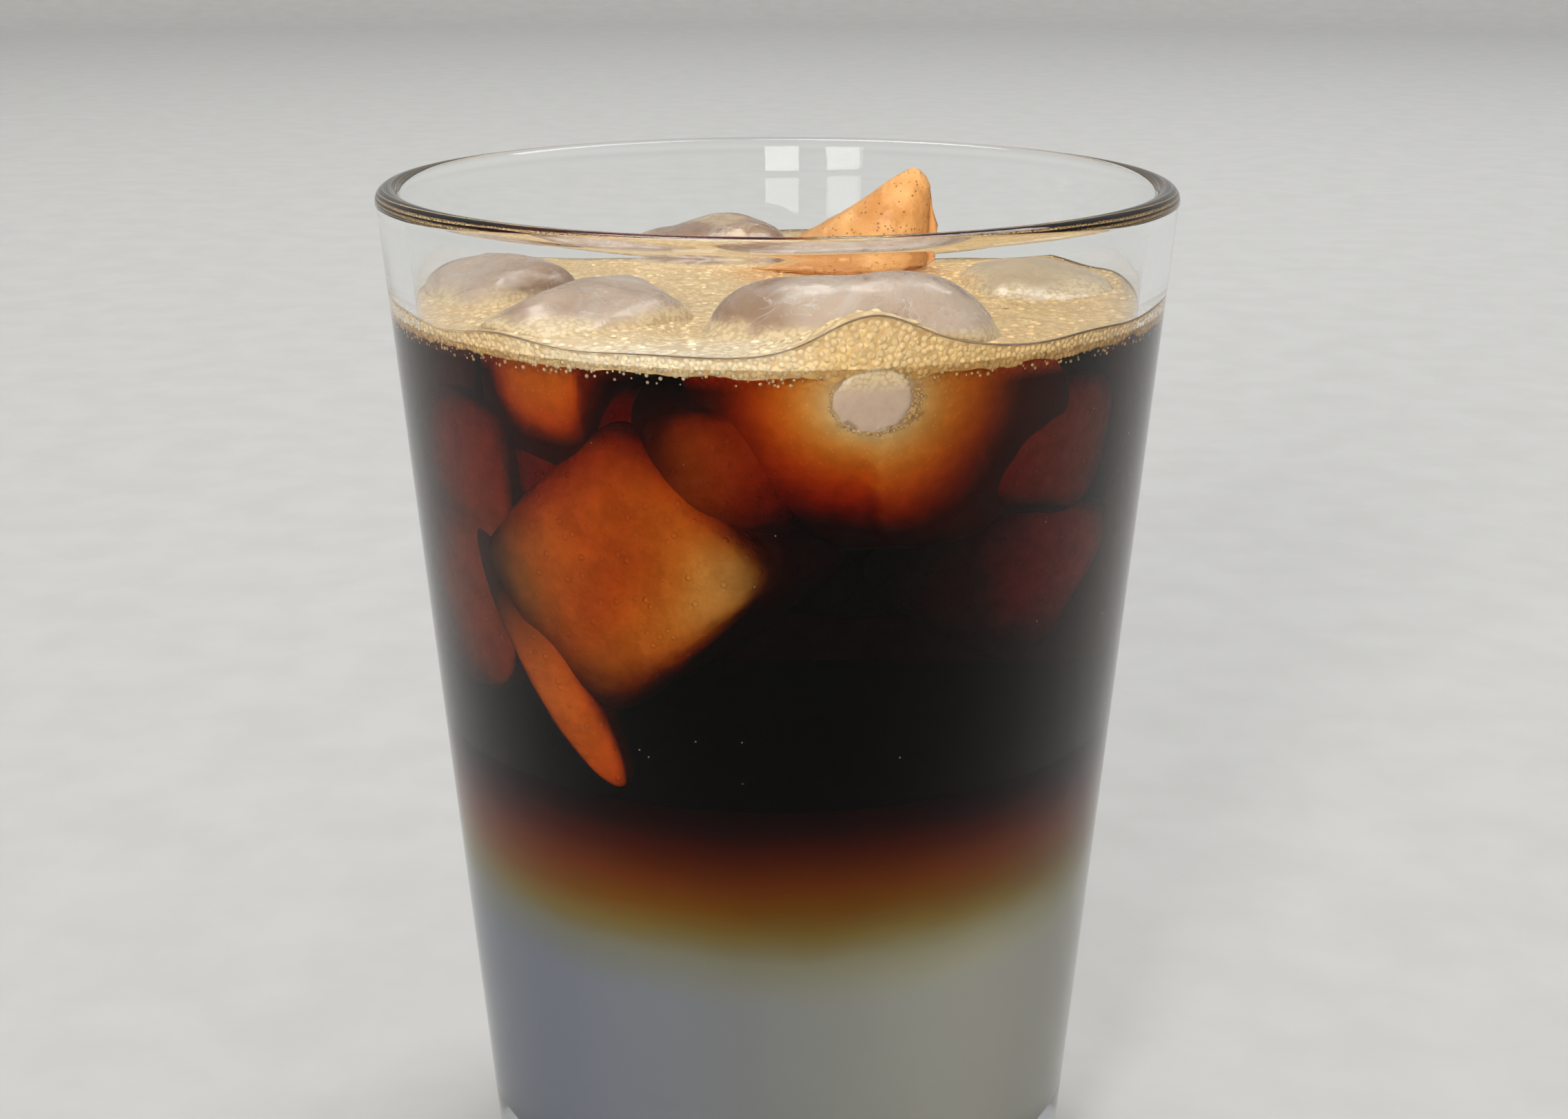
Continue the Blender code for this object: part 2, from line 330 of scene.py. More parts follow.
def skinned_mesh(name, shape, rings):
    """Joins each ring of points to the next, where a ring of one point closes an end."""
    for low, high in zip(rings[:-1], rings[1:]):
        steps = max(len(low), len(high))
        for k in range(steps):
            after = (k + 1) % steps
            if len(low) == 1:
                shape.faces.new((low[0], high[k], high[after]))
            elif len(high) == 1:
                shape.faces.new((low[k], high[0], low[after]))
            else:
                shape.faces.new((low[k], high[k], high[after], low[after]))
    bmesh.ops.recalc_face_normals(shape, faces=shape.faces[:])
    return to_mesh(name, shape)


def turned_mesh(name, profile, steps):
    """A closed mesh turned round Z from (radius, height) points that start and end on the axis."""
    shape = bmesh.new()
    rings = []
    for radius, z in profile:
        turns = compass(steps) if radius > 1e-6 else compass(1)
        rings.append([shape.verts.new((radius * x, radius * y, z)) for _, x, y in turns])
    return skinned_mesh(name, shape, rings)


def melt(direction, seed):
    """How far a melted block stands out or in along a direction from its middle."""
    x, y, z = direction
    swell = 0.022 * math.sin(2.6 * x + 1.7 * seed) * math.cos(2.1 * z + 0.9 * seed)
    swell += 0.018 * math.sin(3.4 * y - 1.3 * seed + 1.5 * z)
    swell += 0.010 * math.sin(6.1 * x - 4.2 * y + 2.0 * seed)
    return 1 + swell


def ice_mesh(name, block, cuts, ripple):
    """A rounded, melted block with fine ripples."""
    centre, size, turn, roundness, seed = block
    shape = bmesh.new()
    bmesh.ops.create_cube(shape, size=2)
    bmesh.ops.subdivide_edges(shape, edges=shape.edges[:], cuts=cuts, use_grid_fill=True)
    half = Vector(size) / 2
    turned = Euler([math.radians(angle) for angle in turn]).to_matrix()
    for vert in shape.verts:
        unit = vert.co / sum(abs(c) ** roundness for c in vert.co) ** (1 / roundness)
        swell = melt(unit, seed)
        place = Vector(c * h * swell for c, h in zip(unit, half))
        out = place.normalized()
        wave = noise.noise(place * 230 + Vector((seed, 0, 0)))
        wave += 0.5 * noise.noise(place * 610 + Vector((0, seed, 0)))
        place += out * (wave * ripple)
        vert.co = turned @ place + Vector(centre)
    return to_mesh(name, shape)


class Paint:
    """Builds one material's nodes round its Principled shader."""

    def __init__(self, name, **sockets):
        self.material = bpy.data.materials.new(name)
        self.material.use_nodes = True
        self.tree = self.material.node_tree
        self.shader = self.tree.nodes["Principled BSDF"]
        self.output = self.tree.nodes["Material Output"]
        self.place = None
        for socket, value in sockets.items():
            self.set(socket.replace("_", " "), value)

    def set(self, socket, value):
        if isinstance(value, bpy.types.NodeSocket):
            self.tree.links.new(value, self.shader.inputs[socket])
        elif hasattr(value, "__len__"):
            self.shader.inputs[socket].default_value = (*value, 1)
        else:
            self.shader.inputs[socket].default_value = value

    def add(self, kind, inputs=(), **settings):
        made = self.tree.nodes.new("ShaderNode" + kind)
        for key, value in settings.items():
            setattr(made, key, value)
        for key, value in dict(inputs).items():
            if isinstance(value, bpy.types.NodeSocket):
                self.tree.links.new(value, made.inputs[key])
            else:
                made.inputs[key].default_value = value
        return made

    def position(self):
        if self.place is None:
            self.place = self.add("TexCoord").outputs["Object"]
        return self.place

    def axis(self, name):
        return self.add("SeparateXYZ", {0: self.position()}).outputs[name]

    def noise(self, scale, detail=3.0, roughness=0.55, distortion=0.0):
        made = self.add(
            "TexNoise",
            {"Vector": self.position(), "Scale": scale, "Detail": detail,
             "Roughness": roughness, "Distortion": distortion},
        )
        return made.outputs["Fac"]

    def cells(self, scale, vector=None):
        made = self.add("TexVoronoi", {"Vector": vector or self.position(), "Scale": scale})
        return made.outputs["Distance"]

    def math(self, operation, *values):
        return self.add("Math", dict(enumerate(values)), operation=operation).outputs[0]

    def vector(self, operation, *values):
        """A step of vector arithmetic, which gives a number or a vector."""
        made = self.add("VectorMath", dict(enumerate(values)), operation=operation)
        number = operation in ("DISTANCE", "DOT_PRODUCT", "LENGTH")
        return made.outputs["Value" if number else "Vector"]

    def rest(self, share):
        """What a share leaves of 1."""
        return self.math("SUBTRACT", 1.0, share)

    def off(self, value, middle):
        """How far a value is from its middle, to either side."""
        return self.math("ABSOLUTE", self.math("SUBTRACT", value, middle))

    def stray(self, value, reach, scale, detail=3.0):
        """Adds clouds of noise to a value, as high as the reach."""
        return self.math("MULTIPLY_ADD", self.noise(scale, detail), reach, value)

    def between(self, value, low, high, first=0.0, last=1.0, smooth=True):
        """Carries a value from the span low..high to first..last, and holds it at the ends."""
        ends = {"Value": value, "From Min": low, "From Max": high, "To Min": first, "To Max": last}
        kind = "SMOOTHSTEP" if smooth else "LINEAR"
        made = self.add("MapRange", ends, interpolation_type=kind)
        return made.outputs["Result"]

    def mix(self, factor, first, second, blend="MIX"):
        """Blends two colours, each a plain colour or a socket."""
        pair = [c if isinstance(c, bpy.types.NodeSocket) else (*c, 1) for c in (first, second)]
        inputs = {0: factor, 6: pair[0], 7: pair[1]}
        return self.add("Mix", inputs, data_type="RGBA", blend_type=blend).outputs[2]

    def tint(self, colour, by):
        return self.mix(1.0, colour, by, "MULTIPLY")

    def lay(self, base, colour, mask, amount):
        """Lays a colour over a base where the mask is 1, as strongly as the amount."""
        return self.mix(self.math("MULTIPLY", mask, amount), base, colour)

    def ramp(self, value, stops):
        made = self.add("ValToRGB", {0: value})
        points = made.color_ramp.elements
        while len(points) < len(stops):
            points.new(0.5)
        for point, (position, colour) in zip(points, stops):
            point.position = position
            point.color = (*colour, 1)
        return made.outputs["Color"]

    def relief(self, height, distance, strength=1.0):
        made = self.add("Bump", {"Height": height, "Strength": strength, "Distance": distance})
        self.set("Normal", made.outputs["Normal"])


def clear_paint(name, colour, index, mirrored):
    """A see-through finish with an index of refraction and a share of light that it mirrors."""
    return Paint(
        name, Base_Color=colour, Roughness=0.0, IOR=index, Transmission_Weight=1.0,
        Specular_Tint=(mirrored, mirrored, mirrored),
    )


def glass_paint(shape):
    paint = clear_paint("clear_glass", shape.tint, 1.5, 0.16)
    paint.relief(paint.noise(55.0, detail=1.0), 0.00025, 0.25)
    return paint.material


def wet_glass_paint(shape):
    """The inner wall under the drink, which mirrors nothing because liquid lies against it."""
    return clear_paint("wetted_glass", shape.tint, 1.5, 0).material


def coffee_paint(drink):
    paint = clear_paint("strong_coffee", (1, 1, 1), 1.33, 0)
    density = max(drink.absorb) * 1.02 / MM
    passed = [1 - loss / MM / density for loss in drink.absorb]
    depth = paint.add("VolumeAbsorption", {"Color": (*passed, 1), "Density": density})
    paint.tree.links.new(depth.outputs[0], paint.output.inputs["Volume"])
    return paint.material


def layer_paint(drink):
    """Haze below, olive gold and amber where thin coffee starts, and dark coffee on top, with painted light
    and painted refraction of a bluish room at the sides of the low haze and painted shade down the middle.
    """
    paint = Paint("hazy_layer", Roughness=0.6, IOR=1.33, Specular_IOR_Level=0.0)
    drift = paint.math("SUBTRACT", paint.noise(38.0, detail=2.0), 0.5)
    fine = paint.math("SUBTRACT", paint.noise(140.0, detail=3.0), 0.5)
    height = paint.math("MULTIPLY_ADD", drift, 0.0030, paint.axis("Z"))
    height = paint.math("MULTIPLY_ADD", fine, 0.0006, height)
    low, high = 0.034, 0.062
    share = paint.between(height, low, high, smooth=False)
    haze, amber, dark = Vector(drink.haze), Vector(drink.amber), Vector(drink.dark)
    olive = (haze.x * 1.0, haze.y * 0.68, haze.z * 0.18)
    brown = (amber.x * 0.30, amber.y * 0.10, amber.z * 0.4)

    stops = [
        (0.0350, haze),
        (0.0402, (haze.x * 1.02, haze.y * 0.95, haze.z * 0.66)),
        (0.0434, olive),
        (0.0465, amber),
        (0.0495, (amber.x * 0.75, amber.y * 0.42, amber.z * 0.6)),
        (0.0530, brown),
        (0.0555, dark * 3),
        (0.0575, dark),
    ]
    graded = paint.ramp(share, [((z - low) / (high - low), tuple(c)) for z, c in stops])
    # painted light and painted refraction: the low haze is painted about twice as bright and warm on the
    # right, where the real light falls weaker, and bluish on the left, as the room seen through it
    cool = paint.between(paint.axis("X"), 0.024, -0.028)
    low_down = paint.between(height, 0.046, 0.036)
    side_light_tint = paint.mix(cool, (2.05, 1.98, 1.70), (0.98, 1.03, 1.24))
    tinted = paint.mix(low_down, graded, paint.tint(graded, side_light_tint))
    # painted shade: the middle is darkened, as the dark surroundings seen through the clear liquid
    middle = paint.between(paint.off(paint.axis("X"), 0.002), 0.022, 0.003)
    paint.set("Base Color", paint.mix(middle, tinted, paint.tint(tinted, (0.78, 0.78, 0.78))))
    return paint.material


def foam_paint(foam):
    """Fine round bubbles, pale at the left and golden at the right and between the ice."""
    paint = Paint("fine_foam", IOR=1.36)
    wobble = paint.add("TexNoise", {"Vector": paint.position(), "Scale": 240.0, "Detail": 2.0})
    shift = paint.vector("MULTIPLY", wobble.outputs["Color"], (0.0006, 0.0006, 0.0006))
    shifted = paint.vector("ADD", paint.position(), shift)
    per_metre = 1 / foam.cell
    small, large = [paint.cells(per_metre * share, shifted) for share in (1, 0.55)]
    patch = paint.between(paint.noise(95.0, detail=2.0), 0.44, 0.56)
    distance = paint.add("Mix", {0: patch, 2: small, 3: large}, data_type="FLOAT").outputs[0]
    round_top = paint.between(distance, 0.62, 0.0)
    edge = paint.between(distance, 0.42, 0.66)
    base = foam_tone(paint, foam)
    mottle = paint.between(paint.noise(420.0, detail=4.0), 0.35, 0.68)
    base = paint.lay(base, foam.golden, mottle, 0.35)
    side = paint.add("NewGeometry").outputs["Normal"]
    upward = paint.between(paint.add("SeparateXYZ", {0: side}).outputs["Z"], 0.2, 0.6)
    base = paint.mix(paint.rest(upward), base, paint.tint(base, (1.0, 0.95, 0.84)))
    base = paint.lay(base, paint.tint(base, (0.58, 0.46, 0.36)), edge, 0.55)
    paint.set("Base Color", base)
    paint.set("Roughness", paint.between(round_top, 0.0, 1.0, 0.48, 0.22))
    paint.relief(round_top, foam.cell * 0.45, 0.9)
    return paint.material


def foam_tone(paint, foam):
    """Pale at the left, golden at the right and in patches, and orange round the crema."""
    drift = paint.noise(70.0, detail=3.0)
    warm = paint.between(paint.math("MULTIPLY_ADD", drift, 0.030, paint.axis("X")), 0.004, 0.032)
    inward = paint.between(paint.axis("Y"), -0.036, -0.028, 0.0, 0.75)
    tone = paint.mix(paint.math("MAXIMUM", warm, inward), foam.pale, foam.golden)
    peak = paint.vector("DISTANCE", paint.position(), CREMA_MIDDLE)
    away = paint.math("MULTIPLY_ADD", drift, 0.012, peak)
    return paint.mix(paint.between(away, 0.024, 0.013, 0.0, 0.85), tone, foam.crema)


def bubble_paint(foam):
    paint = Paint("foam_bubbles", IOR=1.36, Roughness=0.18)
    base = foam_tone(paint, foam)
    light = paint.tint(base, (1.2, 1.2, 1.2))
    base = paint.mix(paint.between(paint.noise(900.0, detail=1.0), 0.35, 0.65), base, light)
    paint.set("Base Color", base)
    paint.set("Roughness", paint.between(paint.noise(500.0), 0.3, 0.7, 0.12, 0.30))
    return paint.material


def wet_line_paint():
    paint = Paint("wet_line", IOR=1.33, Roughness=0.2)
    tone = paint.between(paint.noise(90.0), 0.3, 0.7)
    paint.set("Base Color", paint.mix(tone, (0.17, 0.11, 0.065), (0.36, 0.27, 0.19)))
    return paint.material


def crema_paint(foam):
    paint = Paint("thick_crema", IOR=1.4)
    pores = paint.cells(1500.0)
    hole = paint.between(pores, 0.22, 0.10)
    cloud = paint.between(paint.noise(160.0, detail=4.0), 0.35, 0.70)
    deep = tuple(c * s for c, s in zip(foam.crema, (0.72, 0.58, 0.45)))
    light = tuple(min(c * s, 1) for c, s in zip(foam.crema, (1.12, 1.25, 1.5)))
    base = paint.mix(cloud, deep, foam.crema)
    base = paint.mix(paint.between(paint.noise(420.0), 0.52, 0.85), base, light)
    base = paint.lay(base, tuple(c * 0.5 for c in deep), hole, 0.6)
    paint.set("Base Color", base)
    paint.set("Roughness", paint.between(cloud, 0.0, 1.0, 0.42, 0.6))
    lumps = paint.math("MULTIPLY_ADD", hole, -0.5, paint.noise(700.0, detail=5.0))
    paint.relief(lumps, 0.00035, 0.8)
    return paint.material


def lit_cloud_share(paint, name):
    """How white a block is, partly trapped air and partly a painted glow: most at its spots, none where it
    turns from the wall, which is painted shade.
    """
    share = 0.0
    for spot, full, end, most in LIT_CLOUD_SPOTS[name]:
        away = paint.stray(paint.vector("DISTANCE", paint.position(), spot), 0.004, 120.0, 4.0)
        near = paint.between(away, end + 0.002, full + 0.002, 0.0, most)
        share = paint.math("MAXIMUM", share, near)
    outward = paint.vector("NORMALIZE", paint.vector("MULTIPLY", paint.position(), (1, 1, 0)))
    facing = paint.vector("DOT_PRODUCT", paint.add("NewGeometry").outputs["Normal"], outward)
    start, full = FLAT_FACING if name in FLAT_SIDED else ROUND_FACING
    return paint.math("MULTIPLY", share, paint.between(facing, start, full))


def open_tone(paint, ice, clear_side, cloudy_side, cloud_share):
    """Ice in the air: clear to cloudy, with streaks, hair cracks and fine trapped bubbles."""
    across = paint.stray(paint.axis("X"), 0.004, 120.0, 2.0)
    side = paint.between(across, clear_side + 0.002, cloudy_side + 0.002)
    cloud = paint.between(paint.noise(150.0, 5.0, 0.6), 0.62 - cloud_share * 0.4, 0.74)
    base = paint.mix(side, ice.clear, ice.cloudy)
    base = paint.lay(base, tuple(min(c * 1.25, 1) for c in ice.cloudy), cloud, 0.55)
    streak = paint.noise(95.0, 6.0, 0.7, 0.8)
    darker = tuple(c * 0.72 for c in ice.clear)
    base = paint.mix(paint.between(streak, 0.50, 0.36, 0.0, 0.75), base, darker)
    base = paint.mix(paint.between(streak, 0.52, 0.68, 0.0, 0.65), base, (0.86, 0.78, 0.70))
    crack = paint.between(paint.off(paint.noise(330.0, 1.5, distortion=1.2), 0.5), 0.012, 0.003)
    rare = paint.between(paint.noise(110.0, 1.0), 0.54, 0.62)
    base = paint.lay(base, (0.88, 0.84, 0.78), paint.math("MULTIPLY", crack, rare), 0.8)
    speck = paint.between(paint.cells(900.0), 0.16, 0.06)
    return paint.lay(base, (0.80, 0.76, 0.70), speck, 0.5)


def drowned_tone(paint, name):
    """Ice in the coffee: white at its spots, partly trapped air and partly a painted glow, and painted
    shade in the dark rest, with pearls of air and a wet patch at the contact.
    """
    grain = paint.between(paint.noise(620.0, 4.0), 0.30, 0.72, 0.62, 1.0)
    tone = paint.mix(grain, (0.45, 0.33, 0.19), (0.80, 0.62, 0.36))
    pearl = paint.between(paint.cells(1500.0), 0.22, 0.10, 0.0, 0.55)
    tone = paint.mix(pearl, tone, (0.96, 0.82, 0.56))
    # painted glow at the white spots, and painted shade in the dark tone where the ice turns from them
    tone = paint.mix(lit_cloud_share(paint, name), DEEP_COFFEE_SHADE, tone)
    offset = paint.vector("SUBTRACT", paint.position(), CONTACT)
    offset = paint.vector("MULTIPLY", offset, CONTACT_STRETCH)
    away = paint.stray(paint.vector("LENGTH", offset), 0.0014, 420.0, 4.0)
    touch = paint.between(away, CONTACT_RADIUS + 0.0014, CONTACT_RADIUS + 0.0006)
    tone = paint.mix(touch, tone, paint.mix(grain, (0.37, 0.26, 0.185), (0.57, 0.42, 0.31)))
    rim = paint.between(paint.off(away, CONTACT_RADIUS + 0.0010), 0.0007, 0.0003, 0.0, 0.75)
    below = paint.between(paint.axis("Z"), CONTACT.z - 0.0004, CONTACT.z - 0.0020)
    broken = paint.between(paint.noise(520.0, 1.0), 0.42, 0.56)
    rim = paint.math("MULTIPLY", paint.math("MULTIPLY", rim, broken), below)
    bead = paint.between(paint.cells(2300.0), 0.30, 0.55)
    return paint.mix(rim, tone, paint.mix(bead, (0.80, 0.66, 0.52), (0.30, 0.17, 0.09)))


def ice_paint(name, ice):
    """Open ice above, under a film and a lap of foam, and drowned ice below the coffee's level."""
    paint = Paint("melting_" + name, IOR=1.31)
    clear_side, cloudy_side, cloud_share, film = ICE_LOOK[name]
    base = open_tone(paint, ice, clear_side, cloudy_side, cloud_share)
    bare = 0.5 * (1 - film)
    smear = paint.between(paint.noise(170.0, 5.0), 0.12 + bare, 0.34 + bare, 0.0, 0.85)
    base = paint.mix(smear, base, (0.50, 0.37, 0.21))
    lap = paint.between(paint.stray(paint.axis("Z"), 0.0030, 210.0), LAP_TOP + 0.0015, LAP_TOP)
    froth = paint.between(paint.cells(2100.0), 0.40, 0.70, 0.0, 0.55)
    base = paint.mix(lap, base, paint.mix(froth, (0.70, 0.54, 0.32), (0.42, 0.28, 0.14)))
    sunk = paint.between(paint.axis("Z"), ICE_LEVEL, ICE_LEVEL - 0.002)
    paint.set("Base Color", paint.mix(sunk, base, drowned_tone(paint, name)))
    uncovered = paint.rest(paint.math("MAXIMUM", smear, lap))
    open_share = paint.math("MULTIPLY", paint.rest(sunk), uncovered)
    paint.set("Transmission Weight", paint.math("MULTIPLY", open_share, 0.40))
    gloss = paint.between(paint.noise(260.0), 0.3, 0.7, 0.12, 0.34)
    paint.set("Roughness", paint.math("MULTIPLY_ADD", sunk, 0.6, gloss))
    paint.relief(paint.noise(380.0, detail=4.0), 0.0003, 0.5)
    return paint.material


def sunk_ice_paint(name):
    """Ice inside the coffee: a pale, mottled surface with small bubbles on it, with no gloss, pale only at
    its spots of trapped air and painted glow, and painted shade elsewhere.
    """
    paint = Paint(name, IOR=1.33, Roughness=0.9, Specular_IOR_Level=0.0)
    grain = paint.between(paint.noise(260.0, 6.0, 0.65), 0.30, 0.70)
    bubble = paint.between(paint.cells(620.0), 0.24, 0.12)
    base = paint.mix(grain, (0.66, 0.63, 0.52), (0.92, 0.90, 0.82))
    base = paint.lay(base, (0.98, 0.97, 0.92), bubble, 0.5)
    # painted glow at the white spots, and painted shade in the dark tone where the ice turns from them
    paint.set("Base Color", paint.mix(lit_cloud_share(paint, name), DEEP_COFFEE_SHADE, base))
    paint.relief(paint.math("MULTIPLY_ADD", bubble, 0.6, grain), 0.0004, 0.8)
    return paint.material


class ICED_OT_glass(bpy.types.Operator):
    """Turn the clear glass with a thick floor and a rounded rim"""

    bl_idname = "iced.glass"
    bl_label = "Glass"

    def execute(self, context):
        glass, drink = context.scene.iced_glass, context.scene.iced_drink
        tilt = side_tilt(glass)
        foot_centre = (outer_radius(glass, glass.foot_rounding) - glass.foot_rounding, glass.foot_rounding)
        rim_centre = (glass.rim_radius - glass.wall / 2, glass.height - glass.wall / 2)
        wetted = drink.coffee_top + 0.0012
        profile = [(0, glass.floor_thickness), (0.012, glass.floor_thickness)]
        profile += inner_corner(glass, 0, -90, -tilt)
        near_rim = glass.height - glass.wall / 2 - 0.0005
        low_wall = (glass.floor_thickness + glass.inner_rounding + 0.0006, 0.040, 0.070)
        below_rim = near_rim - 0.0009
        profile += [(inner_radius(glass, z), z) for z in (*low_wall, wetted, below_rim, near_rim)]
        profile += arc(rim_centre, glass.wall / 2, 180 - tilt, -tilt, 20)
        profile += [(outer_radius(glass, z), z) for z in (near_rim, below_rim, 0.070, 0.030, 0.006, 0.0045)]
        profile += arc(foot_centre, glass.foot_rounding, -tilt, -90, 8)
        profile += [(0.020, 0.0), (0, 0.0)]
        mesh = turned_mesh("drinking_glass", profile, glass.steps)
        mesh.materials.append(glass_paint(glass))
        mesh.materials.append(wet_glass_paint(glass))
        for face in mesh.polygons:
            x, y, z = face.center
            inside = math.hypot(x, y) < inner_radius(glass, z) + glass.wall * 0.3
            if inside and glass.floor_thickness - 0.0005 < z < wetted:
                face.material_index = 1
        add_piece("drinking_glass", mesh, nodes=["glass"])
        return {"FINISHED"}


class ICED_OT_clear_layer(bpy.types.Operator):
    """Fill the bottom with the clear, hazy mixer"""

    bl_idname = "iced.clear_layer"
    bl_label = "Clear layer"

    def execute(self, context):
        glass, drink = context.scene.iced_glass, context.scene.iced_drink
        top = drink.clear_top + LAYER_LAP
        profile = [(0, top), (inner_radius(glass, top) + WALL_REACH, top)]
        profile += [(inner_radius(glass, 0.030) + WALL_REACH, 0.030)]
        profile += inner_corner(glass, WALL_REACH, -side_tilt(glass), -90)
        profile += [(0, glass.floor_thickness - WALL_REACH)]
        mesh = turned_mesh("hazy_mixer", profile, glass.steps)
        mesh.set_sharp_from_angle(angle=math.radians(50))
        add_piece("hazy_mixer", mesh, layer_paint(drink), ["clear_layer"])
        return {"FINISHED"}


class ICED_OT_coffee(bpy.types.Operator):
    """Float the coffee on the clear layer, with the amber fade where they meet"""

    bl_idname = "iced.coffee"
    bl_label = "Coffee"

    def execute(self, context):
        glass, drink = context.scene.iced_glass, context.scene.iced_drink
        fade, coffee = bpy.data.materials["hazy_layer"], coffee_paint(drink)
        layers = {
            "coffee_fade": (drink.clear_top, drink.fade_top + LAYER_LAP, fade, "amber_layer"),
            "strong_coffee": (drink.fade_top, drink.coffee_top, coffee, "coffee_layer"),
        }
        for name, (low, high, finish, node) in layers.items():
            profile = [(0, high), (inner_radius(glass, high) + WALL_REACH, high)]
            profile += [(inner_radius(glass, low) + WALL_REACH, low), (0, low)]
            mesh = turned_mesh(name, profile, glass.steps)
            mesh.set_sharp_from_angle(angle=math.radians(40))
            add_piece(name, mesh, finish, [node])
        return {"FINISHED"}


def ease(value, low, high):
    """0 at low, 1 at high and smooth between."""
    share = min(max((value - low) / (high - low), 0), 1)
    return share * share * (3 - 2 * share)


def lean_on_wall(vert, name, wall):
    """The scale that brings a block's sunk side to the wall: nearest at one point, then away."""
    gap, nearest = SUNK_GAP[name]
    touches = name == "ice_front"
    start = radius = math.hypot(vert.co.x, vert.co.y)
    offset = vert.co - nearest
    if touches:
        offset *= CONTACT_STRETCH
    away = offset.length - CONTACT_RADIUS
    sunk = ease(vert.co.z, ICE_FREE, ICE_LEVEL)
    slope = 0.00028 * max(away / MM, 0) ** 1.25
    if touches:
        slope = slope * (0.64 if offset.x > 0 else 0.94) + 0.00022 * ease(away, 0.0, 0.0006)
    target = wall + WALL_REACH * 1.4 - gap - slope
    if touches and target > radius:
        weight = ease(radius, 0.022, 0.030) * sunk * ease(away, 0.016, 0.010)
        radius += (target - radius) * weight
    clear = wall - 0.0006
    limit = clear + (min(target, clear) if gap else target) * sunk - clear * sunk
    return min(radius, limit) / start


class ICED_OT_ice(bpy.types.Operator):
    """Set the melting blocks that stand out of the foam"""

    bl_idname = "iced.ice"
    bl_label = "Floating ice"

    def execute(self, context):
        glass, ice = context.scene.iced_glass, context.scene.iced_ice
        for name, block in FLOATING_ICE.items():
            mesh = ice_mesh(name, block, ice.cuts, ice.ripple)
            for vert in mesh.vertices:
                scale = lean_on_wall(vert, name, inner_radius(glass, vert.co.z))
                vert.co.x *= scale
                vert.co.y *= scale
            add_piece("melting_" + name, mesh, ice_paint(name, ice), [name])
        return {"FINISHED"}


class ICED_OT_sunk_ice(bpy.types.Operator):
    """Sink the blocks that show only through the coffee"""

    bl_idname = "iced.sunk_ice"
    bl_label = "Sunk ice"

    def execute(self, context):
        glass, ice = context.scene.iced_glass, context.scene.iced_ice
        for name, block in SUNK_ICE.items():
            mesh = ice_mesh(name, block, ice.cuts, ice.ripple)
            gap, rounding = SUNK_MELT.get(name, PLAIN_MELT)
            for vert in mesh.vertices:
                reach = inner_radius(glass, vert.co.z) - gap
                radius = math.hypot(vert.co.x, vert.co.y)
                inward = rounding * math.log1p(math.exp((radius - reach) / rounding))
                vert.co.x *= 1 - inward / radius
                vert.co.y *= 1 - inward / radius
            add_piece(name, mesh, sunk_ice_paint(name))
        return {"FINISHED"}


def ball(steps, cut=-2.0):
    """Points and faces of a small ball of radius 1, cut off under a height."""
    shape = bmesh.new()
    bmesh.ops.create_icosphere(shape, subdivisions=steps, radius=1)
    low = [face for face in shape.faces if face.calc_center_median().z < cut]
    bmesh.ops.delete(shape, geom=low, context="FACES")
    points = [vert.co.copy() for vert in shape.verts]
    faces = [[vert.index for vert in face.verts] for face in shape.faces]
    shape.free()
    return points, faces


def bubbles_mesh(name, bubbles, form, flat):
    """Many balls in one mesh, each (centre, radius), pressed flat to a share of their height."""
    points, faces = form
    all_points, all_faces = [], []
    for (at_x, at_y, at_z), radius in bubbles:
        start = len(all_points)
        for x, y, z in points:
            all_points.append((at_x + x * radius, at_y + y * radius, at_z + z * radius * flat))
        all_faces += [[start + i for i in face] for face in faces]
    mesh = bpy.data.meshes.new(name)
    mesh.from_pydata(all_points, [], all_faces)
    mesh.update()
    return mesh


def scatter(tries, place, size, clear):
    """Throws bubbles that don't overlap: (u, v, radius) in metres on a flat field."""
    grid, kept = {}, []
    step = 0.0012
    for _ in range(tries):
        u, v = place()
        radius = size(u, v)
        if radius <= 0:
            continue
        at = (int(u // step), int(v // step))
        near = [b for i in (-1, 0, 1) for j in (-1, 0, 1) for b in grid.get((at[0] + i, at[1] + j), ())]
        if all(math.hypot(u - b[0], v - b[1]) > (radius + b[2]) * clear for b in near):
            bubble = (u, v, radius)
            kept.append(bubble)
            grid.setdefault(at, []).append(bubble)
    return kept


def foam_low_edge(angle, foam):
    """Ragged lower edge of the foam at the wall."""
    way = Vector((math.cos(angle), math.sin(angle), 0))
    return foam.bottom + (noise.noise(way * 9) * 0.0004 + noise.noise(way * 38) * 0.00025)


def near_wave(x, y, width):
    """1 in the middle of the foam's front wave, falling to 0 round it."""
    away = math.hypot(x - WAVE_PLACE.x, y - WAVE_PLACE.y) / width
    return math.exp(-away * away)


def ice_gaps(x, y, part):
    """How far a point of the foam is from each floating block, which counts as round."""
    spans = [block[:2] for block in FLOATING_ICE.values()]
    return [math.hypot(x - at[0], y - at[1]) - (size[0] + size[1]) / part for at, size in spans]


def foam_height(x, y, foam):
    """Height of the foam's top, which ripples, climbs on the ice and rises in a wave at the front."""
    peak = math.hypot((x - PEAK_PLACE[0]) / PEAK_HALF[0], (y - PEAK_PLACE[1]) / PEAK_HALF[1])
    calm = min(max(3 * (peak - 1.35), 0), 1)
    rise = 0.0003 * math.sin(260 * x + 0.6) * math.cos(310 * y + 1.1)
    for gap in ice_gaps(x, y, 4):
        rise += 0.0008 * math.exp(-max(gap, 0) / 0.002)
    rise += 0.0036 * near_wave(x, y, 0.006)
    return foam.top + rise * calm


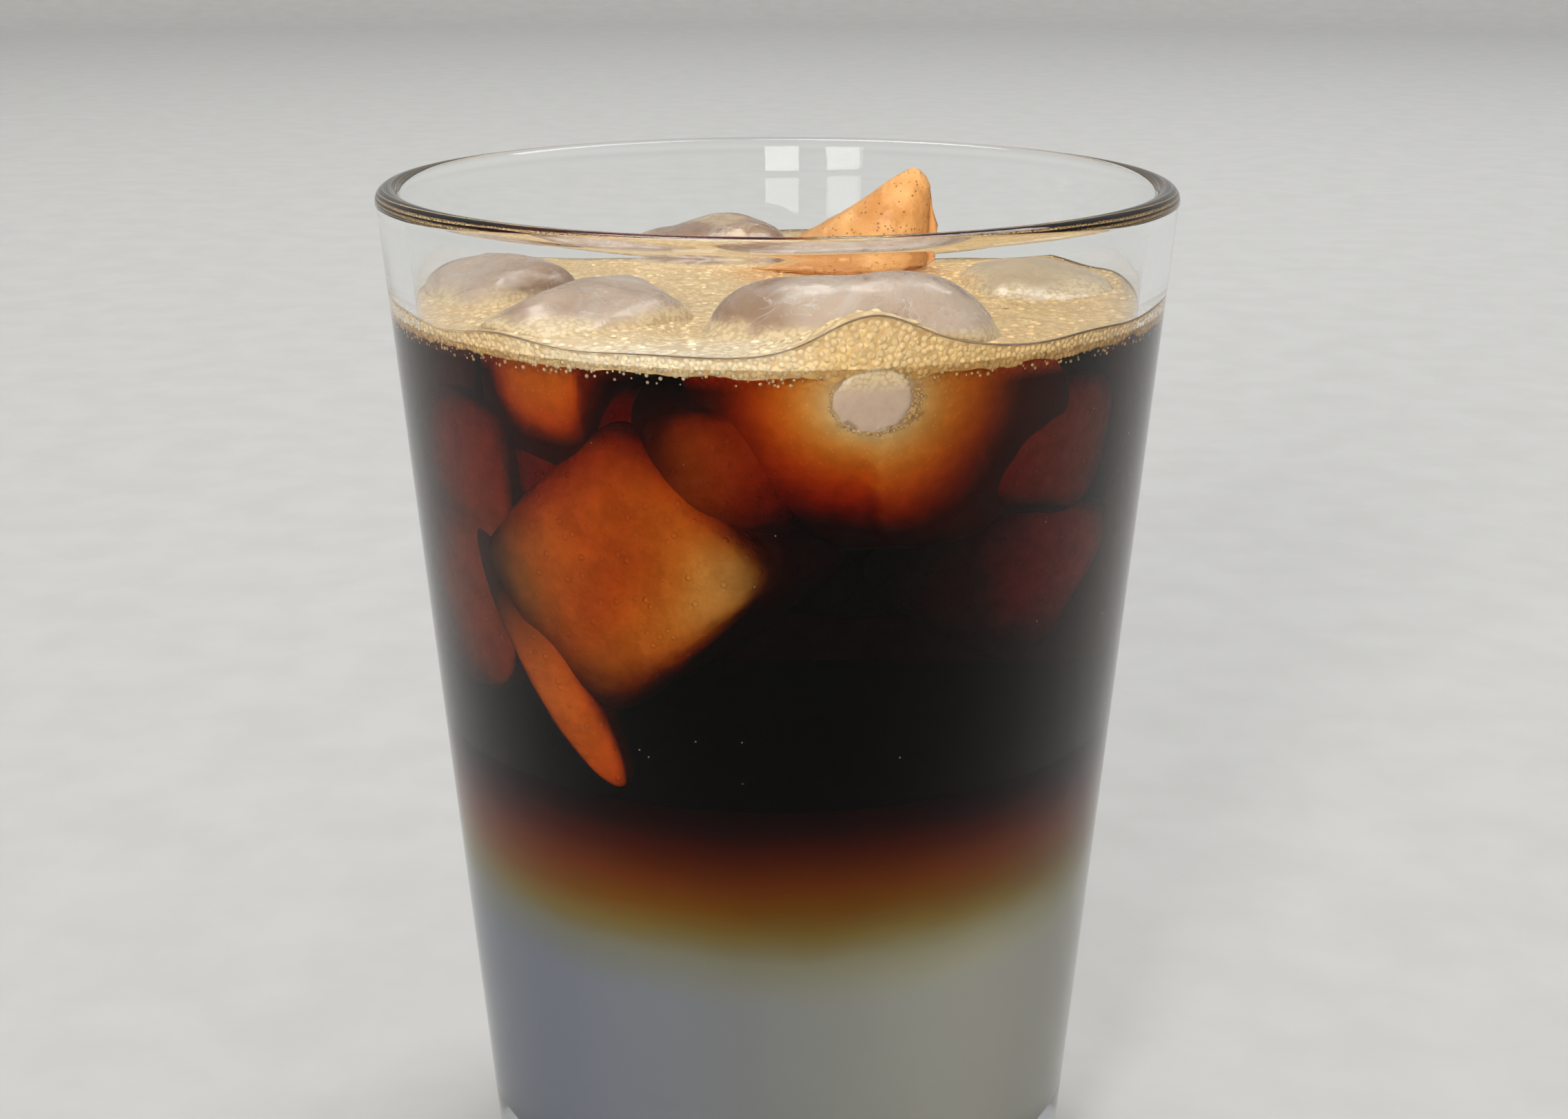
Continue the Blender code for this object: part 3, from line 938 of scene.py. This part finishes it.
class ICED_OT_foam(bpy.types.Operator):
    """Lay the foam on the coffee, with its wave at the front"""

    bl_idname = "iced.foam"
    bl_label = "Foam"

    def execute(self, context):
        glass, foam = context.scene.iced_glass, context.scene.iced_foam
        rings, sides = 120, 7
        turns = compass(420)
        shape = bmesh.new()
        rows = [[shape.verts.new((0, 0, foam_height(0, 0, foam)))]]
        for ring in range(1, rings + 1):
            share = ring / rings
            row = []
            for _, x, y in turns:
                radius = (inner_radius(glass, foam.top) + WALL_REACH) * share
                z = foam_height(x * radius, y * radius, foam)
                radius = (inner_radius(glass, z) + WALL_REACH * 0.5) * share
                cell = noise.voronoi(Vector((x, y, 0)) * (radius * 900))[0][0]
                z += 0.00016 * (0.5 - min(cell, 1)) * (1 - share ** 12)
                row.append(shape.verts.new((x * radius, y * radius, z)))
            rows.append(row)
        edge = rows[-1]
        for down in range(1, sides + 1):
            row = []
            for (angle, x, y), point in zip(turns, edge):
                top = point.co.z
                low = foam_low_edge(angle, foam) - 0.12 * (top - foam.top)
                z = top + (low - top) * down / sides
                radius = inner_radius(glass, z) - 0.00001
                row.append(shape.verts.new((x * radius, y * radius, z)))
            rows.append(row)
        rows.append([shape.verts.new((0, 0, foam.bottom + 0.0006))])
        mesh = skinned_mesh("foam", shape, rows)
        mesh.set_sharp_from_angle(angle=math.radians(60))
        add_piece("foam", mesh, foam_paint(foam), ["crema_layer"])
        return {"FINISHED"}


def wall_bubbles(glass, foam, draw):
    """Bubbles at the wall: the packed band, strays under it, froth at the contact, and specks."""
    wall = inner_radius(glass, foam.top)
    turn = 2 * math.pi * wall

    def thrown(kind):
        return lambda: (draw.uniform(0, turn), draw.uniform(*BANDS[kind]))

    def packed_size(u, v):
        angle = u / wall
        x, y = math.cos(angle) * wall, math.sin(angle) * wall
        high, low = foam_height(x, y, foam), foam_low_edge(angle, foam)
        size = foam.cell * (1 + 0.35 * near_wave(x, y, 0.008)) * draw.uniform(0.46, 0.56)
        return size if low + size * 0.4 < v < high - size * 0.7 else 0

    def stray_size(u, v):
        return draw.uniform(0.00008, 0.00022)

    kept = scatter(THROWN["packed"], thrown("packed"), packed_size, 0.74)
    strays = scatter(THROWN["strays"], thrown("strays"), stray_size, 1.0)
    kept += [b for b in strays if b[1] < foam_low_edge(b[0] / wall, foam)]
    for _ in range(THROWN["froth"]):
        angle = math.radians(draw.uniform(-200, 20))
        reach = CONTACT_RADIUS + draw.gauss(0.0002, 0.00022)
        u = math.atan2(CONTACT.y, CONTACT.x) * wall + math.cos(angle) * reach / CONTACT_STRETCH.x + turn
        v = CONTACT.z + math.sin(angle) * reach / CONTACT_STRETCH.z
        kept.append((u, v, draw.uniform(0.00007, 0.00019)))
    speck_place = thrown("specks")
    for _ in range(THROWN["specks"]):
        kept.append((*speck_place(), draw.uniform(0.00004, 0.00010)))
    bubbles = []
    for u, v, size in kept:
        angle = u / wall
        radius = inner_radius(glass, v) + WALL_REACH * 0.9 - size
        bubbles.append(((math.cos(angle) * radius, math.sin(angle) * radius, v), size))
    return bubbles


def foam_domes(glass, foam, draw):
    """Larger bubbles on the foam, most of them close to the ice."""
    wall = inner_radius(glass, foam.top)

    def dome_size(x, y):
        gap = min(ice_gaps(x, y, 5))
        if math.hypot(x, y) > wall - 0.0008 or gap < 0:
            return 0
        if draw.random() > 0.06 + 0.6 * math.exp(-gap / 0.002):
            return 0
        return foam.cell * draw.uniform(0.40, 0.85)

    crowd = scatter(
        THROWN["domes"], lambda: (draw.uniform(-wall, wall), draw.uniform(-wall, wall)), dome_size, 0.95
    )
    return [((x, y, foam_height(x, y, foam) - size * 0.22), size) for x, y, size in crowd]


class ICED_OT_bubbles(bpy.types.Operator):
    """Pack the bubbles that show at the wall, on the foam and under its edge"""

    bl_idname = "iced.bubbles"
    bl_label = "Bubbles"

    def execute(self, context):
        glass, foam = context.scene.iced_glass, context.scene.iced_foam
        paint = bubble_paint(foam)
        draw = random.Random(11)
        kinds = {
            "wall_bubbles": (wall_bubbles(glass, foam, draw), ball(2), 1.0),
            "foam_bubbles": (foam_domes(glass, foam, draw), ball(2, 0.1), 0.55),
        }
        for name, (bubbles, form, flat) in kinds.items():
            mesh = bubbles_mesh(name, bubbles, form, flat)
            add_piece(name, mesh, paint)
        return {"FINISHED"}


class ICED_OT_wet_line(bpy.types.Operator):
    """Draw the thin wet line where the foam meets the wall"""

    bl_idname = "iced.wet_line"
    bl_label = "Wet line"

    def execute(self, context):
        glass, foam = context.scene.iced_glass, context.scene.iced_foam
        shape = bmesh.new()
        loops = []
        wall = inner_radius(glass, foam.top)
        for _, x, y in compass(480):
            z = foam_height(x * wall, y * wall, foam) + 0.00008
            thick = 0.00007 + 0.00006 * noise.noise(Vector((x, y, 0)) * 3) + 0.00003 * x
            radius = inner_radius(glass, z) - 0.00002
            loop = []
            for _, out, up in compass(6):
                reach = radius + out * thick
                loop.append(shape.verts.new((x * reach, y * reach, z + up * thick)))
            loops.append(loop)
        mesh = skinned_mesh("wet_line", shape, loops + loops[:1])
        add_piece("wet_line", mesh, wet_line_paint())
        return {"FINISHED"}


class ICED_OT_peak(bpy.types.Operator):
    """Heap the crema in its leaning peak"""

    bl_idname = "iced.peak"
    bl_label = "Crema peak"

    def execute(self, context):
        foam = context.scene.iced_foam
        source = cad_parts["crema_peak"]
        mesh = source.data.copy()
        mesh.name = "crema_heap"
        mesh.materials.clear()
        shape = bmesh.new()
        shape.from_mesh(mesh)
        bmesh.ops.remove_doubles(shape, verts=shape.verts[:], dist=0.00002)
        bmesh.ops.subdivide_edges(shape, edges=shape.edges[:], cuts=3, use_grid_fill=True, smooth=0.6)
        shape.normal_update()
        for vert in shape.verts:
            rough = noise.noise(vert.co * 700) + 0.6 * noise.noise(vert.co * 1600)
            vert.co += vert.normal * (0.00012 * rough - 0.00012)
        shape.to_mesh(mesh)
        shape.free()
        add_piece("crema_heap", mesh, crema_paint(foam), ["crema_peak"])
        return {"FINISHED"}


def round_room(profile, steps):
    """A round floor that curves up into a wall, open at the top, from (radius, height) points."""
    shape = bmesh.new()
    line = [shape.verts.new((radius, 0, z)) for radius, z in profile]
    edges = [shape.edges.new(pair) for pair in zip(line[:-1], line[1:])]
    bmesh.ops.spin(
        shape, geom=line + edges, cent=(0, 0, 0), axis=(0, 0, 1), angle=2 * math.pi, steps=steps,
        use_merge=True,
    )
    bmesh.ops.remove_doubles(shape, verts=shape.verts[:], dist=0.0001)
    mesh = to_mesh("pale_floor", shape)
    mesh.shade_smooth()
    return mesh


def add_light(name, place, aim, size, power, colour):
    light = bpy.data.lights.new(name, "AREA")
    light.shape = "RECTANGLE"
    light.size, light.size_y = size
    light.energy = power
    light.color = colour
    lamp = bpy.data.objects.new(name, light)
    lamp.location = place
    lamp.rotation_euler = (Vector(aim) - Vector(place)).to_track_quat("-Z", "Y").to_euler()
    bpy.context.scene.collection.objects.link(lamp)


class ICED_OT_stage(bpy.types.Operator):
    """Set the pale floor, the soft lights and the camera"""

    bl_idname = "iced.stage"
    bl_label = "Stage"

    def execute(self, context):
        scene = context.scene
        profile = [(0, 0)] + [(0.2 * i * i, 0) for i in (1, 2, 3)]
        profile += arc((2.2, 0.6), 0.6, -90, 0, 12) + [(2.8, 1.6)]
        mesh = round_room(profile, 96)
        floor = bpy.data.objects.new("pale_floor", mesh)
        floor.location.z = -0.0001  # just clear of the foot, so that the base mirrors and isn't black
        scene.collection.objects.link(floor)
        paint = Paint("matt_floor", Roughness=0.85, Specular_IOR_Level=0.2)
        speckle = paint.between(paint.noise(60.0, detail=6.0), 0.3, 0.7)
        paint.set("Base Color", paint.mix(speckle, (0.51, 0.503, 0.485), (0.54, 0.533, 0.515)))
        mesh.materials.append(paint.material)
        world = bpy.data.worlds.new("soft_room")
        world.use_nodes = True
        sky = world.node_tree.nodes["Background"].inputs
        sky["Color"].default_value = (0.92, 0.95, 1.0, 1)
        sky["Strength"].default_value = 0.45
        scene.world = world
        warm, cool = (1.0, 0.98, 0.95), (0.96, 0.98, 1.0)
        add_light("window_behind_left", (-0.30, 0.90, 2.00), (0, 0.3, 0), (0.5, 1.0), 14.0, warm)
        add_light("window_behind_right", (0.70, 0.90, 2.00), (0, 0.3, 0), (0.7, 1.0), 18.0, cool)
        add_light("window_front_left", (-0.75, -1.85, 0.48), (0, 0, 0.07), (0.40, 1.0), 30.0, warm)
        add_light("window_front_right", (-0.05, -2.00, 0.48), (0, 0, 0.07), (0.40, 1.0), 30.0, warm)
        camera = bpy.data.cameras.new("camera")
        camera.sensor_width = 36
        camera.lens = 52.2
        camera.clip_start = 0.01
        eye = bpy.data.objects.new("camera", camera)
        eye.location = (0.0007, -0.247, 0.147)
        eye.rotation_euler = (math.radians(73.34), 0, 0)
        scene.collection.objects.link(eye)
        scene.camera = eye
        scene.view_settings.view_transform = "Standard"
        cycles = scene.cycles
        cycles.max_bounces = 24
        cycles.transmission_bounces = 24
        cycles.diffuse_bounces = 5
        cycles.glossy_bounces = 8
        cycles.transparent_max_bounces = 16
        return {"FINISHED"}


class ICED_PT_panel(bpy.types.Panel):
    """Lists the pieces of the iced coffee in the sidebar"""

    bl_label = "Iced coffee"
    bl_idname = "ICED_PT_panel"
    bl_space_type = "VIEW_3D"
    bl_region_type = "UI"
    bl_category = "Iced coffee"

    def draw(self, context):
        for group, kind in SHAPES.items():
            box = self.layout.box()
            box.label(text=kind.__doc__)
            for name in kind.__annotations__:
                box.prop(getattr(context.scene, group), name)
        for operator in OPERATORS:
            self.layout.operator(operator.bl_idname)


OPERATORS = (
    ICED_OT_glass,
    ICED_OT_clear_layer,
    ICED_OT_coffee,
    ICED_OT_sunk_ice,
    ICED_OT_ice,
    ICED_OT_foam,
    ICED_OT_bubbles,
    ICED_OT_wet_line,
    ICED_OT_peak,
    ICED_OT_stage,
)
CLASSES = (*SHAPES.values(), *OPERATORS, ICED_PT_panel)


def register():
    for kind in CLASSES:
        bpy.utils.register_class(kind)
    for name, kind in SHAPES.items():
        setattr(bpy.types.Scene, name, PointerProperty(type=kind))


def unregister():
    for name in SHAPES:
        delattr(bpy.types.Scene, name)
    for kind in reversed(CLASSES):
        bpy.utils.unregister_class(kind)


def main():
    register()
    bpy.ops.iced.glass()
    bpy.ops.iced.clear_layer()
    bpy.ops.iced.coffee()
    bpy.ops.iced.sunk_ice()
    bpy.ops.iced.ice()
    bpy.ops.iced.foam()
    bpy.ops.iced.bubbles()
    bpy.ops.iced.wet_line()
    bpy.ops.iced.peak()
    bpy.ops.iced.stage()


if __name__ == "__main__":
    main()
